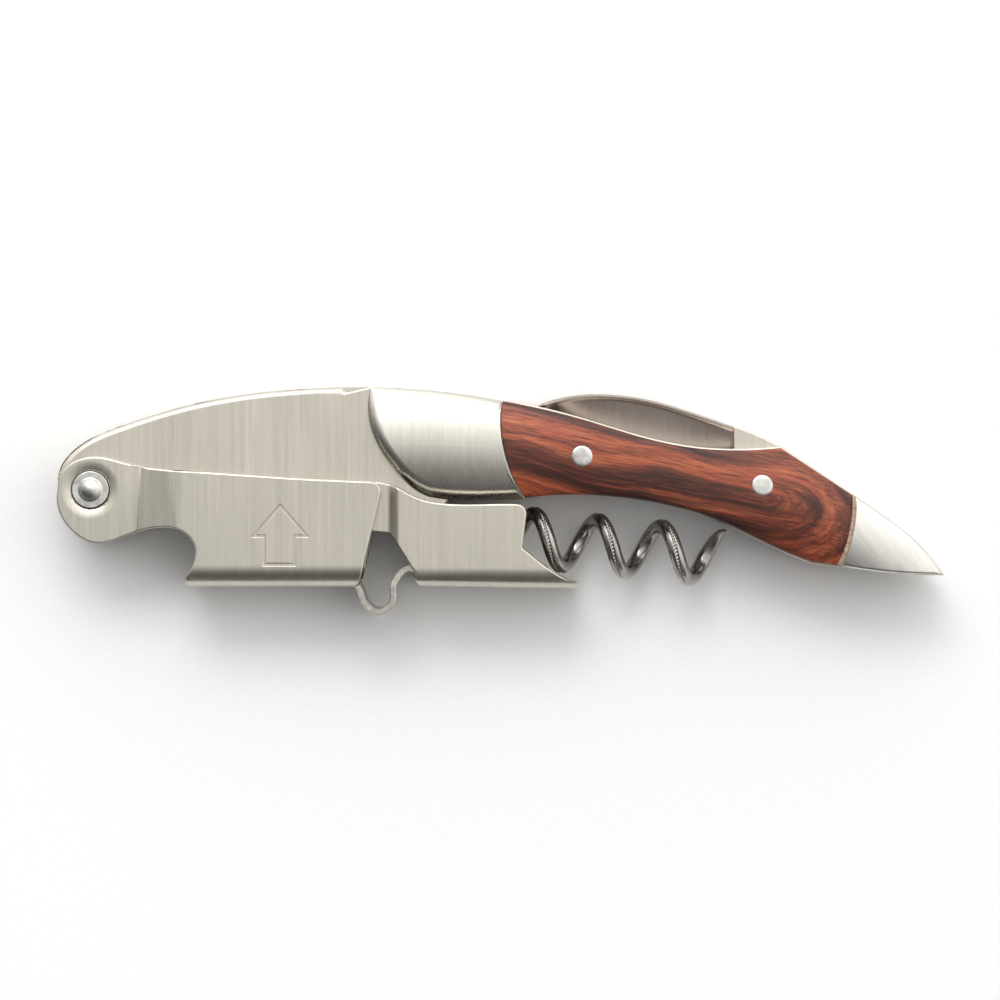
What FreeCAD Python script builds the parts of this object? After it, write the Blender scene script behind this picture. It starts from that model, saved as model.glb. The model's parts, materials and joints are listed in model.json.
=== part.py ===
"""A waiter's corkscrew: a two-part sprung lever, a worm and a foil knife in a riveted handle.

The folded tool lies on its side. X runs along the handle from the lever rivet to the tail,
Y runs from the lever up to the knife, and Z is the thickness. The flat cheeks of the lever
rest on Z = 0, and the middle plane of the handle is half the lever's width above them.
"""
import FreeCAD, Part
import math
import os

Vector = FreeCAD.Vector

SIZES = {
    # stack of layers, from the middle plane outwards
    "mid_height": 6.2,
    "slot_width": 3.0,
    "plate_thickness": 2.0,
    "scale_height": 2.6,
    "crown_radius": 17.0,
    "crown_half_width": 11.0,
    # pressed lever parts
    "sheet_thickness": 1.0,
    "lever_width": 12.4,
    "ear_width": 10.0,
    "tongue_width": 10.1,
    "bend_radius": 0.9,
    "mark_depth": 0.25,
    "dimple_radius": 3.4,
    "dimple_depth": 0.35,
    # pivots
    "rivet_x": -57.95,
    "rivet_y": 1.6,
    "worm_pin_x": -10.8,
    "worm_pin_y": -3.84,
    "knife_pin_x": 36.8,
    "knife_pin_y": 2.2,
    "scale_pin_x": 11.4,
    "scale_pin_y": 6.3,
    "running_gap": 0.05,
    "rivet_shoulder": 2.6,
    "rivet_shank": 1.6,
    "rivet_dome": 1.65,
    "rivet_dome_height": 0.85,
    "lever_washer_radius": 3.6,
    "lever_washer_thickness": 0.35,
    "pin_radius": 1.5,
    "pin_recess": 0.12,
    "worm_pin_radius": 1.25,
    "worm_eye_radius": 3.0,
    "worm_eye_width": 2.5,
    "tang_width": 2.4,
    "blade_width": 1.7,
    "shim_radius": 2.6,
    "shim_thickness": 0.2,
    # worm
    "wire_radius": 1.05,
    "coil_radius": 3.5,
    "coil_pitch": 9.1,
    "coil_slope": -5.6,
    "coil_start": 13.025,
    "point_length": 3.2,
    # leaf spring of the lever
    "leaf_thickness": 1.0,
    "leaf_width": 8.0,
    "leaf_rivet_radius": 1.0,
    "leaf_hole_gap": 0.15,
    "leaf_rivet_head": 0.3,
}

doc = FreeCAD.newDocument("waiters_corkscrew")
sheet = doc.addObject("Spreadsheet::Sheet", "dims")
for row, (alias, value) in enumerate(SIZES.items(), start=1):
    sheet.set(f"A{row}", alias)
    sheet.set(f"B{row}", str(value))
    sheet.setAlias(f"B{row}", alias)
doc.recompute()

NODES = []


def size(alias):
    """The sheet's value for one alias, in millimetres or degrees."""
    return float(sheet.get(alias))


def spot(name):
    """The X and Y place of a pivot."""
    return size(f"{name}_x"), size(f"{name}_y")


def keep(thing, label):
    """Name a finished sub-part, which is then written to a file of that name."""
    thing.Label = label
    NODES.append(thing)
    return thing


# ---------------------------------------------------------------- outlines

# Each outline starts at a point. A pair is the end of a straight run, and a list of points
# is a smooth curve that starts at the last point and passes through them.

NECK_TOP = [(-62.5, 4.4), (-60.6, 7.1), (-54.2, 10.5), (-45.7, 13.2), (-37.2, 14.95),
            (-28.6, 15.85), (-18.4, 16.15)]
BOLSTER_TOP = [(-12.0, 15.8), (-5.5, 15.15), (0.1, 14.2)]
PLATE_TOP = [(5.2, 13.4), (12.8, 11.4), (20.5, 9.1), (28.1, 7.65), (33.2, 7.4), (39.6, 7.75)]
TAIL_TOP = [(54.0, -1.9), (59.0, -5.9), (62.7, -10.5)]
TAIL_BOTTOM = [(56.0, -10.3), (49.0, -9.5), (44.0, -8.85)]
GRIP_BOTTOM = [(38.3, -6.4), (30.0, -2.5), (21.2, -0.1), (12.7, 0.85), (5.6, 0.7)]
GRIP_BOTTOM_END = (2.9, 0.2)

SIDE_PLATE = [
    (-62.4, 1.6), NECK_TOP, BOLSTER_TOP, PLATE_TOP, (49.8, 0.95), TAIL_TOP, TAIL_BOTTOM,
    GRIP_BOTTOM + [GRIP_BOTTOM_END], (-7.5, 0.05),
    [(-8.1, -1.8), (-7.9, -4.4), (-10.8, -7.1), (-14.2, -4.6), (-17.0, -2.6)],
    (-52.0, -2.4), [(-57.9, -2.8), (-62.4, 1.6)],
]
NECK_SPACER = [
    (-62.0, 1.6), [(-62.1, 4.4), (-60.3, 6.8), (-54.1, 10.1), (-45.6, 12.8), (-37.1, 14.5),
                   (-28.6, 15.4), (-18.4, 15.6)],
    [(-12.0, 15.4), (-5.5, 14.7), (1.8, 13.5)],
    [(2.6, 11.0), (0.8, 8.6)], [(-6.0, 6.6), (-13.2, 2.6)], (-15.2, -1.6),
    (-52.0, -2.0), [(-57.9, -2.4), (-62.0, 1.6)],
]
BACK_SPRING = [
    (-13.0, 1.9), [(-6.0, 4.6), (2.0, 6.9), (8.0, 8.0), (11.4, 9.0), (15.0, 7.6)],
    [(24.0, 5.0), (30.9, 3.2)], (32.6, 0.9), [(22.0, 1.3), (14.0, 3.0), (11.0, 3.6)],
    [(2.0, 2.7), (-6.0, 1.0), (-10.4, -0.6)], (-12.2, -0.5), (-13.0, 1.9),
]
TAIL_SPACER = [
    (40.3, -7.1), (39.6, -5.2), (51.7, -1.0), [(54.0, -2.3), (58.8, -6.1), (61.6, -10.1)],
    [(56.0, -9.9), (49.0, -9.1), (44.2, -8.5)], (40.3, -7.1),
]
BOLSTER = [
    (-18.4, 16.0), [(-12.0, 15.75), (-5.5, 15.1), (0.1, 14.15)],
    [(-0.1, 11.0), (0.3, 7.4), (1.3, 4.0), (3.2, 0.4)],
    [(-1.5, 0.1), (-7.0, 0.15), (-10.2, 0.6)],
    [(-12.3, 1.7), (-15.1, 4.5), (-17.6, 8.3), (-18.8, 12.5), (-18.4, 16.0)],
]
SCALE = [
    (0.25, 14.1), [(5.2, 13.15), (12.8, 11.15), (20.5, 8.8), (28.1, 7.4), (33.2, 7.15), (39.5, 7.5)],
    (49.5, 0.9), [(49.45, -1.5), (48.9, -5.0), (47.3, -9.1)], (44.0, -8.7),
    GRIP_BOTTOM + [(3.4, 0.45)], [(1.45, 4.0), (0.45, 7.4), (0.05, 11.0), (0.25, 14.1)],
]
TIP_SPACER = [
    (49.5, 0.9), (50.0, 0.6), [(50.0, -1.5), (49.45, -5.0), (48.1, -9.2)],
    (47.3, -9.1), [(48.9, -5.0), (49.45, -1.5), (49.5, 0.9)],
]
TAIL_TIP = [
    (50.0, 0.6), [(54.0, -2.1), (58.9, -6.0), (62.2, -10.4)], [(56.0, -10.2), (48.1, -9.2)],
    [(49.45, -5.0), (50.0, -1.5), (50.0, 0.6)],
]
BLADE = [
    (5.2, 13.6), [(8.6, 14.7), (14.1, 15.2), (20.5, 14.5), (27.5, 12.5), (33.3, 10.5)],
    (33.3, 5.2), (28.0, 5.7), [(22.0, 7.0), (14.0, 9.3), (7.6, 11.9), (5.2, 13.6)],
]
TANG = [
    (33.0, 10.6), [(36.2, 9.4), (39.5, 7.75)], (40.1, 3.0),
    [(39.2, -0.15), (36.8, -1.2), (34.3, 0.0)], (33.0, 3.2), (31.5, 4.6), (33.0, 7.2), (33.0, 10.6),
]
LEVER_FIRST = [
    (-62.6, 1.6), [(-60.9, 5.2), (-57.7, 6.25), (-52.8, 5.3), (-42.9, 4.15), (-28.6, 3.2), (-18.8, 2.75)],
    [(-17.3, 2.3), (-16.9, 1.1)], (-20.1, -12.1), (-44.1, -12.1), [(-44.5, -11.6), (-44.4, -10.6)],
    [(-43.3, -8.7), (-43.2, -6.3), (-44.9, -4.3), (-48.2, -3.75), (-52.8, -4.85), (-57.0, -6.0),
     (-60.7, -4.1), (-62.6, 1.6)],
]
LEVER_SECOND = [
    (-24.0, 1.4), [(-20.0, 2.5), (-16.6, 2.6), (-14.4, 1.8), (-11.9, 0.5), (-8.5, -0.3), (2.0, -0.4)],
    [(3.2, -0.8), (3.6, -1.8)], (3.0, -6.6), [(4.6, -7.9), (8.2, -10.5), (10.8, -11.7)],
    (10.8, -12.4), (-11.6, -12.0), [(-11.95, -11.4), (-11.95, -10.4)], (-15.6, -4.6),
    (-24.0, -3.8), (-24.0, 1.4),
]


SPINE_FIRST = [(-44.4, -11.1), (-24.5, -11.1), (-24.5, -12.1), (-44.1, -12.1), (-44.4, -11.1)]
SPINE_SECOND = [(-11.9, -11.0), (10.8, -11.4), (10.8, -12.4), (-11.6, -12.0), (-11.9, -11.0)]

# the places along a lever part between which its cheeks step out to the full width
JOGGLE_FIRST = (-51.5, -45.5)
JOGGLE_SECOND = (-15.75, -14.6)

# the stamped arrow that shows where to press, clockwise from its point
ARROW = [(-31.1, -0.65), (-27.35, -4.95), (-29.05, -4.95), (-29.05, -9.0), (-33.35, -9.0),
         (-33.35, -4.95), (-34.85, -4.95)]
GROOVE_HALF_WIDTH = 0.2

# the centre line of the leaf spring, from its end in the first lever part
LEAF_ROUTE = [
    (-34.0, -10.5), (-31.0, -10.5), (-28.0, -10.5), (-25.0, -10.5), (-22.4, -10.8), (-20.3, -12.0),
    (-19.2, -14.5), (-17.2, -15.65), (-15.4, -14.3), (-15.15, -11.6), (-13.3, -9.55), (-10.5, -10.1),
    (-8.0, -10.3), (-5.0, -10.35), (-2.0, -10.4),
]

# places along each spine of the rivets that hold the leaf spring, and the height of their heads
SPRING_RIVETS = {
    "spring_rivets_first": ((-31.5, -27.5), -12.1),
    "spring_rivets_second": ((-6.5, -3.5), -12.2),
}

# the centre line of the crown, and how far its top has dropped at places along the handle
CROWN_ROUTE = [(-24.0, 8.0), (-8.0, 7.8), (8.0, 6.6), (24.0, 3.4), (40.0, -0.2), (52.0, -5.4),
               (66.0, -12.6)]
CROWN_START = (-24.0, 0.3)
CROWN_DROPS = [(-10.0, 0.0), (30.0, 0.0), (48.0, 0.2), (57.0, 1.1), (63.0, 2.5)]

# turns of the worm: where its wire leaves the shank, how long it takes to reach the full coil
# radius, and where its point begins
WORM_TURNS = (-0.75, 3.12)
WORM_SETTLING = 0.9


def draw(outline, name, plane="XY"):
    """A sketch of one closed outline, in the XY plane or standing up in the XZ plane."""
    sketch = doc.addObject("Sketcher::SketchObject", name)
    if plane == "XZ":
        sketch.Placement = FreeCAD.Placement(Vector(), FreeCAD.Rotation(Vector(1, 0, 0), 90))
    last = outline[0]
    for step in outline[1:]:
        if isinstance(step, list):
            curve = Part.BSplineCurve()
            curve.interpolate([Vector(*p, 0) for p in [last] + step])
            last = step[-1]
        else:
            curve = Part.LineSegment(Vector(*last, 0), Vector(*step, 0))
            last = step
        sketch.addGeometry(curve)
    return sketch


def extrude(outline, name, length, plane="XY", direction=(0, 0, 1), symmetric=False):
    """An outline pulled into a solid, with its length bound to the sheet."""
    solid = doc.addObject("Part::Extrusion", name)
    solid.Base = draw(outline, f"{name}_outline", plane)
    solid.Dir = Vector(*direction)
    solid.DirMode = "Custom"
    solid.Solid = True
    solid.Symmetric = symmetric
    solid.setExpression("LengthFwd", length)
    return solid


def raise_to(thing, height):
    """Lift an object to a height that the sheet gives."""
    thing.setExpression("Placement.Base.z", height)
    return thing


def cylinder(name, place, radius, length, height):
    """A round bar along Z at a pivot, from a height up, all bound to the sheet."""
    bar = doc.addObject("Part::Cylinder", name)
    bar.setExpression("Radius", radius)
    bar.setExpression("Height", length)
    bar.setExpression("Placement.Base.x", f"dims.{place}_x")
    bar.setExpression("Placement.Base.y", f"dims.{place}_y")
    return raise_to(bar, height)


def join(kind, name, first, second):
    """A boolean of two objects: Part::Cut, Part::Fuse or Part::Common."""
    result = doc.addObject(kind, name)
    result.Base = first
    result.Tool = second
    result.Refine = True
    return result


def group(name, things):
    """Several separate solids in one object."""
    result = doc.addObject("Part::Compound", name)
    result.Links = things
    return result


def drill(thing, name, place, radius):
    """Cut a round hole right through at a pivot."""
    tool = cylinder(f"{name}_drill", place, radius, "4 * dims.mid_height", "-dims.mid_height")
    return join("Part::Cut", name, thing, tool)


def grown(corners, distance):
    """A clockwise outline of straight runs with every side moved outwards by a distance."""
    moved = []
    for before, corner, after in zip(corners[-1:] + corners, corners, corners[1:] + corners[:1]):
        ahead = [(Vector(*b, 0) - Vector(*a, 0)).normalize() for a, b in ((before, corner), (corner, after))]
        first, second = [Vector(-way.y, way.x, 0) for way in ahead]
        shift = (first + second) * (distance / (1 + first.dot(second)))
        moved.append((corner[0] + shift.x, corner[1] + shift.y))
    return moved + moved[:1]


def soften(thing, name, radius, chosen):
    """Round the edges that a test picks."""
    doc.recompute()
    edges = [i for i, edge in enumerate(thing.Shape.Edges, start=1) if chosen(edge)]
    result = doc.addObject("Part::Fillet", name)
    result.Base = thing
    result.Edges = [(i, radius, radius) for i in edges]
    return result


def mirror(thing, label):
    """The matching piece on the other side of the middle plane."""
    result = doc.addObject("Part::Mirroring", label)
    result.Source = thing
    result.Normal = Vector(0, 0, 1)
    result.setExpression("Base.z", "dims.mid_height")
    return keep(result, label)


FRONT_PLATE = "dims.mid_height + dims.slot_width / 2"
FRONT_SCALE = FRONT_PLATE + " + dims.plate_thickness"


# ---------------------------------------------------------------- handle

def side_plates():
    """Two plates that run the whole length, with a rounded upper edge on the bare neck."""
    plate = raise_to(extrude(SIDE_PLATE, "plate_blank", "dims.plate_thickness"), FRONT_PLATE)
    plate = drill(plate, "plate_rivet_hole", "rivet", "dims.rivet_shank")
    plate = drill(plate, "plate_worm_hole", "worm_pin", "dims.worm_pin_radius")
    plate = drill(plate, "plate_scale_hole", "scale_pin", "dims.pin_radius")
    plate = drill(plate, "plate_knife_hole", "knife_pin", "dims.pin_radius")
    keep(plate, "side_plate_front")
    mirror(plate, "side_plate_back")


def middle_layer():
    """The pieces between the plates: a neck spacer, the back spring and a tail spacer."""
    bottom = "dims.mid_height - dims.slot_width / 2"
    neck = raise_to(extrude(NECK_SPACER, "neck_spacer_blank", "dims.slot_width"), bottom)
    keep(drill(neck, "neck_spacer_drilled", "rivet", "dims.rivet_shank"), "neck_spacer")
    spring = raise_to(extrude(BACK_SPRING, "back_spring_blank", "dims.slot_width"), bottom)
    keep(drill(spring, "back_spring_drilled", "scale_pin", "dims.pin_radius"), "back_spring")
    keep(raise_to(extrude(TAIL_SPACER, "tail_spacer_blank", "dims.slot_width"), bottom), "tail_spacer")


def sweep(route, corners, roof=None):
    """A flat section carried along a level curve, with an arc in place of its last side."""
    curve = Part.BSplineCurve()
    curve.interpolate([Vector(x, y, 0) for x, y in route])
    sides = Part.makePolygon(corners)
    if roof is None:
        closing = Part.LineSegment(corners[-1], corners[0])
    else:
        closing = Part.Arc(corners[-1], roof, corners[0])
    pipe = Part.BRepOffsetAPI.MakePipeShell(Part.Wire(curve.toShape()))
    pipe.setBiNormalMode(Vector(0, 0, 1))
    pipe.add(Part.Wire(sides.Edges + [closing.toShape()]))
    pipe.build()
    pipe.makeSolid()
    return pipe.shape()


def crown():
    """A long pillow over the handle: its top is an arc across, and it drops towards the tail."""
    radius = size("crown_radius")
    height = size("scale_height")
    half_width = size("crown_half_width")
    shoulder = height - radius + math.sqrt(radius ** 2 - half_width ** 2)
    foot = shoulder - height
    start = Vector(*CROWN_ROUTE[0], 0)
    curve = Part.BSplineCurve()
    curve.interpolate([Vector(x, y, 0) for x, y in CROWN_ROUTE])
    ahead = curve.tangent(curve.FirstParameter)[0]
    edge = Vector(-ahead.y, ahead.x, 0) * half_width
    corners = [start + edge + Vector(0, 0, shoulder), start + edge + Vector(0, 0, foot),
               start - edge + Vector(0, 0, foot), start - edge + Vector(0, 0, shoulder)]
    pillow = doc.addObject("Part::Feature", "crown_pillow")
    pillow.Shape = sweep(CROWN_ROUTE, corners, start + Vector(0, 0, height))
    raise_to(pillow, FRONT_SCALE)
    top = size("mid_height") + size("slot_width") / 2 + size("plate_thickness") + height
    left, drop = CROWN_START
    right = CROWN_DROPS[-1][0]
    profile = [(left, 0.0), (left, top - drop), [(x, top - drop) for x, drop in CROWN_DROPS],
               (right, 0.0), (left, 0.0)]
    side = extrude(profile, "crown_side", "8 * dims.mid_height", plane="XZ", direction=(0, 1, 0),
                   symmetric=True)
    return join("Part::Common", "crown", pillow, side)


def crowned(outline, label, shape, holes=()):
    """A front cover piece under the crown and its mirror image at the back."""
    blank = raise_to(extrude(outline, f"{label}_blank", "dims.scale_height"), FRONT_SCALE)
    piece = join("Part::Common", f"{label}_crowned", blank, shape)
    for place in holes:
        piece = drill(piece, f"{label}_{place}_hole", place, "dims.pin_radius")
    keep(piece, f"{label}_front")
    mirror(piece, f"{label}_back")


def pins():
    """Two flush pins through the scales, and a short peened pin for the worm."""
    plate_face = "dims.slot_width / 2 + dims.plate_thickness"
    cover_face = f"{plate_face} + dims.scale_height - dims.pin_recess"
    for label, radius, reach in (("scale_pin", "dims.pin_radius", cover_face),
                                 ("knife_pin", "dims.pin_radius", cover_face),
                                 ("worm_pin", "dims.worm_pin_radius", plate_face)):
        keep(cylinder(label, label, radius, f"2 * ({reach})", f"dims.mid_height - ({reach})"), label)


def washer_pair(label, place, radius, bore, thickness, inner_face):
    """Two equal washers, one on each side of the middle plane."""
    rings = []
    for side, low in (("front", f"dims.mid_height + {inner_face}"),
                      ("back", f"dims.mid_height - ({inner_face}) - {thickness}")):
        disc = cylinder(f"{label}_{side}_disc", place, radius, thickness, low)
        rings.append(drill(disc, f"{label}_{side}", place, bore))
    keep(group(label, rings), label)


# ---------------------------------------------------------------- knife and worm

def knife():
    """A foil knife: a thick round tang and a thinner hollow blade."""
    blade = raise_to(extrude(BLADE, "blade", "dims.blade_width"), "dims.mid_height - dims.blade_width / 2")
    tang = raise_to(extrude(TANG, "tang", "dims.tang_width"), "dims.mid_height - dims.tang_width / 2")
    whole = join("Part::Fuse", "knife", blade, tang)
    keep(drill(whole, "knife_drilled", "knife_pin", "dims.pin_radius + dims.running_gap"), "knife_blade")


def worm_line(turn):
    """A point on the worm's centre line, by turns of the helix, in the worm's own frame."""
    since_start = turn - WORM_TURNS[0]
    settled = min(1.0, since_start / WORM_SETTLING)
    radius = size("coil_radius") * math.sin(settled * math.pi / 2)
    angle = 2 * math.pi * (turn - 0.25)
    along = size("coil_start") + size("coil_pitch") * turn
    return Vector(along, radius * math.cos(angle), radius * math.sin(angle))


def worm():
    """A right-handed open helix of round wire with a pointed end and a flat eye at the pivot."""
    wire = size("wire_radius")
    start, end = WORM_TURNS
    shank = [Vector(0.5, 0, 0), Vector(4.5, 0, 0)]
    steps = 60
    turns = [start + (end - start) * i / steps for i in range(2, steps + 1)]
    curve = Part.BSplineCurve()
    curve.interpolate(shank + [worm_line(turn) for turn in turns])
    ring = Part.makeCircle(wire, shank[0], curve.tangent(curve.FirstParameter)[0])
    coil = Part.Wire(curve.toShape()).makePipeShell([Part.Wire(ring)], True, True)
    last = curve.LastParameter
    tip = Part.makeCone(wire, wire / 10, size("point_length"), curve.value(last), curve.tangent(last)[0])
    eye_width = size("worm_eye_width")
    eye = Part.makeCylinder(size("worm_eye_radius"), eye_width, Vector(0, 0, -eye_width / 2))
    bore = size("worm_pin_radius") + size("running_gap")
    hole = Part.makeCylinder(bore, 2 * eye_width, Vector(0, 0, -eye_width))
    part = doc.addObject("Part::Feature", "worm")
    part.Shape = coil.fuse(tip).fuse(eye).cut(hole)
    x, y = spot("worm_pin")
    part.Placement = FreeCAD.Placement(Vector(x, y, size("mid_height")),
                                       FreeCAD.Rotation(Vector(0, 0, 1), size("coil_slope")))
    keep(part, "worm")


# ---------------------------------------------------------------- lever

def channel(outline, name, narrow, joggle):
    """Two cheeks of sheet in the shape of an outline, narrower to the left of a joggle."""
    wide = size("lever_width") / 2
    thick = size("sheet_thickness")
    mid = size("mid_height")
    left, right = -70.0, 20.0
    cheeks = []
    for side, sign in (("front", 1), ("back", -1)):
        outer = [(left, narrow), (joggle[0], narrow), (joggle[1], wide), (right, wide)]
        inner = [(x, reach - thick) for x, reach in reversed(outer)]
        strip = [(x, mid + sign * reach) for x, reach in outer + inner + outer[:1]]
        cheeks.append(extrude(strip, f"{name}_{side}_strip", "5 * dims.mid_height", plane="XZ",
                              direction=(0, 1, 0), symmetric=True))
    both = join("Part::Fuse", f"{name}_strips", *cheeks)
    side_view = extrude(outline, f"{name}_side", "2 * dims.mid_height")
    return join("Part::Common", f"{name}_cheeks", side_view, both)


def lever_part(outline, spine, name, narrow, joggle):
    """The cheeks and the spine of one lever part, with rounded bends along the spine."""
    cheeks = channel(outline, name, narrow, joggle)
    back = extrude(spine, f"{name}_spine", "dims.lever_width")
    whole = join("Part::Fuse", f"{name}_channel", cheeks, back)
    doc.recompute()
    spine_top = max(point[1] for point in spine[:2]) - size("sheet_thickness")
    wide = size("lever_width")
    touch = 0.01
    slack = size("sheet_thickness") / 2
    shortest_bend = 6.0

    def bend(edge):
        box = edge.BoundBox
        outside = box.ZMax < touch or box.ZMin > wide - touch
        return outside and box.YMax < spine_top + slack and box.XLength > shortest_bend

    return soften(whole, f"{name}_bent", size("bend_radius"), bend)


def stamped(thing, name):
    """Press the outline of the arrow into the front cheek."""
    outer = extrude(grown(ARROW, GROOVE_HALF_WIDTH), f"{name}_outer", "dims.sheet_thickness")
    inner = extrude(grown(ARROW, -GROOVE_HALF_WIDTH), f"{name}_inner", "dims.sheet_thickness")
    groove = join("Part::Cut", f"{name}_groove", outer, inner)
    raise_to(groove, "dims.lever_width - dims.mark_depth")
    return join("Part::Cut", name, thing, groove)


def dimpled(thing, name):
    """Countersink both ears round the rivet."""
    for side, sign, radii in (("front", 1, ("dims.rivet_shoulder", "dims.dimple_radius")),
                              ("back", -1, ("dims.dimple_radius", "dims.rivet_shoulder"))):
        cone = doc.addObject("Part::Cone", f"{name}_{side}_cone")
        cone.setExpression("Radius1", radii[0])
        cone.setExpression("Radius2", radii[1])
        cone.setExpression("Height", "dims.dimple_depth")
        cone.setExpression("Placement.Base.x", "dims.rivet_x")
        cone.setExpression("Placement.Base.y", "dims.rivet_y")
        face = f"dims.mid_height + {sign} * dims.ear_width / 2"
        raise_to(cone, f"{face} - dims.dimple_depth" if sign > 0 else face)
        thing = join("Part::Cut", f"{name}_{side}", thing, cone)
    return thing


def levers():
    """The first lever part turns on the rivet, and the second hangs on the leaf spring."""
    first = lever_part(LEVER_FIRST, SPINE_FIRST, "lever_first", size("ear_width") / 2, JOGGLE_FIRST)
    first = drill(first, "lever_first_drilled", "rivet", "dims.rivet_shoulder + dims.running_gap")
    first = stamped(dimpled(first, "lever_first_dimple"), "lever_first_arrow")
    pegs = spring_pegs("spring_rivets_first", "dims.leaf_rivet_radius")
    keep(join("Part::Cut", "lever_first_riveted", first, pegs), "lever_first")
    second = lever_part(LEVER_SECOND, SPINE_SECOND, "lever_second", size("tongue_width") / 2, JOGGLE_SECOND)
    pegs = spring_pegs("spring_rivets_second", "dims.leaf_rivet_radius")
    keep(join("Part::Cut", "lever_second_riveted", second, pegs), "lever_second")


def rivet_end(side, sign, middle, ear):
    """A shoulder that an ear turns on, and the dome that closes it."""
    low = f"dims.mid_height + {middle}" if sign > 0 else f"dims.mid_height - ({ear})"
    shoulder = cylinder(f"rivet_shoulder_{side}", "rivet", "dims.rivet_shoulder", f"{ear} - ({middle})", low)
    dome, rise = size("rivet_dome"), size("rivet_dome_height")
    ball_radius = (dome ** 2 + rise ** 2) / (2 * rise)
    seat = cylinder(f"rivet_seat_{side}", "rivet", "dims.rivet_dome", "2 * dims.rivet_dome_height",
                    f"dims.mid_height + {sign} * ({ear}) - dims.rivet_dome_height")
    ball = doc.addObject("Part::Sphere", f"rivet_ball_{side}")
    ball.Radius = ball_radius
    ball.setExpression("Placement.Base.x", "dims.rivet_x")
    ball.setExpression("Placement.Base.y", "dims.rivet_y")
    raise_to(ball, f"dims.mid_height + {sign} * ({ear} + dims.rivet_dome_height - {ball_radius:.4f})")
    return [shoulder, join("Part::Common", f"rivet_dome_{side}", seat, ball)]


def rivet():
    """A shouldered rivet: the ears turn on its shoulders, and a dome closes each end."""
    middle = "dims.slot_width / 2 + dims.plate_thickness"
    ear = "dims.ear_width / 2 + dims.running_gap"
    whole = doc.addObject("Part::MultiFuse", "rivet_whole")
    shank = cylinder("rivet_shank", "rivet", "dims.rivet_shank", f"2 * ({middle})",
                     f"dims.mid_height - ({middle})")
    whole.Shapes = [shank] + rivet_end("front", 1, middle, ear) + rivet_end("back", -1, middle, ear)
    whole.Refine = True
    keep(whole, "lever_rivet")


def leaf_spring():
    """A strip that rests in both lever parts and hangs below them in an open loop."""
    low = size("mid_height") - size("leaf_width") / 2
    high = low + size("leaf_width")
    start = Vector(*LEAF_ROUTE[0], 0)
    half = Vector(0, size("leaf_thickness") / 2, 0)
    corners = [start + half + Vector(0, 0, low), start + half + Vector(0, 0, high),
               start - half + Vector(0, 0, high), start - half + Vector(0, 0, low)]
    strip = doc.addObject("Part::Feature", "leaf_strip")
    strip.Shape = sweep(LEAF_ROUTE, corners)
    for end in SPRING_RIVETS:
        holes = spring_pegs(end, "dims.leaf_rivet_radius + dims.leaf_hole_gap")
        strip = join("Part::Cut", f"leaf_{end}", strip, holes)
    keep(strip, "lever_spring")


def spring_pegs(label, radius):
    """Two short round bars through a spine and the leaf spring, as rivets or as drills."""
    places, low = SPRING_RIVETS[label]
    pegs = []
    for number, x in enumerate(places, start=1):
        peg = doc.addObject("Part::Cylinder", f"{label}_peg_{number}")
        peg.setExpression("Radius", radius)
        peg.setExpression("Height", "dims.leaf_thickness + dims.sheet_thickness + dims.leaf_rivet_head")
        peg.Placement = FreeCAD.Placement(Vector(x, low, size("mid_height")),
                                          FreeCAD.Rotation(Vector(1, 0, 0), -90))
        pegs.append(peg)
    return group(f"{label}_pegs", pegs)


def build():
    """Make every sub-part."""
    side_plates()
    middle_layer()
    pillow = crown()
    crowned(BOLSTER, "bolster", pillow)
    crowned(SCALE, "scale", pillow, holes=("scale_pin", "knife_pin"))
    crowned(TIP_SPACER, "tip_spacer", pillow)
    crowned(TAIL_TIP, "tail_tip", pillow)
    pins()
    inside_slot = "dims.slot_width / 2 - dims.shim_thickness"
    on_plates = "dims.slot_width / 2 + dims.plate_thickness"
    washer_pair("knife_washers", "knife_pin", "dims.shim_radius", "dims.pin_radius", "dims.shim_thickness",
                inside_slot)
    washer_pair("worm_washers", "worm_pin", "dims.shim_radius", "dims.worm_pin_radius", "dims.shim_thickness",
                inside_slot)
    washer_pair("lever_washers", "rivet", "dims.lever_washer_radius", "dims.rivet_shoulder",
                "dims.lever_washer_thickness", on_plates)
    knife()
    worm()
    levers()
    rivet()
    leaf_spring()
    for end in SPRING_RIVETS:
        keep(spring_pegs(end, "dims.leaf_rivet_radius"), end)


def test():
    """Stop if any object failed or any sub-part isn't a sound solid."""
    doc.recompute()
    failed = [thing.Name for thing in doc.Objects if {"Invalid", "Error"} & set(thing.State)]
    if failed:
        raise RuntimeError(f"failed objects: {failed}")
    for node in NODES:
        shape = node.Shape
        if shape.isNull() or not shape.isValid() or not shape.Solids:
            raise RuntimeError(f"{node.Label} isn't a sound solid")


def write():
    """Write each sub-part to its own file."""
    os.makedirs("parts", exist_ok=True)
    for node in NODES:
        node.Shape.exportStep(f"parts/{node.Label}.step")
        print(node.Label, len(node.Shape.Solids), round(node.Shape.Volume, 2))


build()
test()
write()
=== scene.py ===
import bisect
import json
import math

import bmesh
import bpy
from mathutils import Matrix, Vector, kdtree
from mathutils.bvhtree import BVHTree


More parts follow.
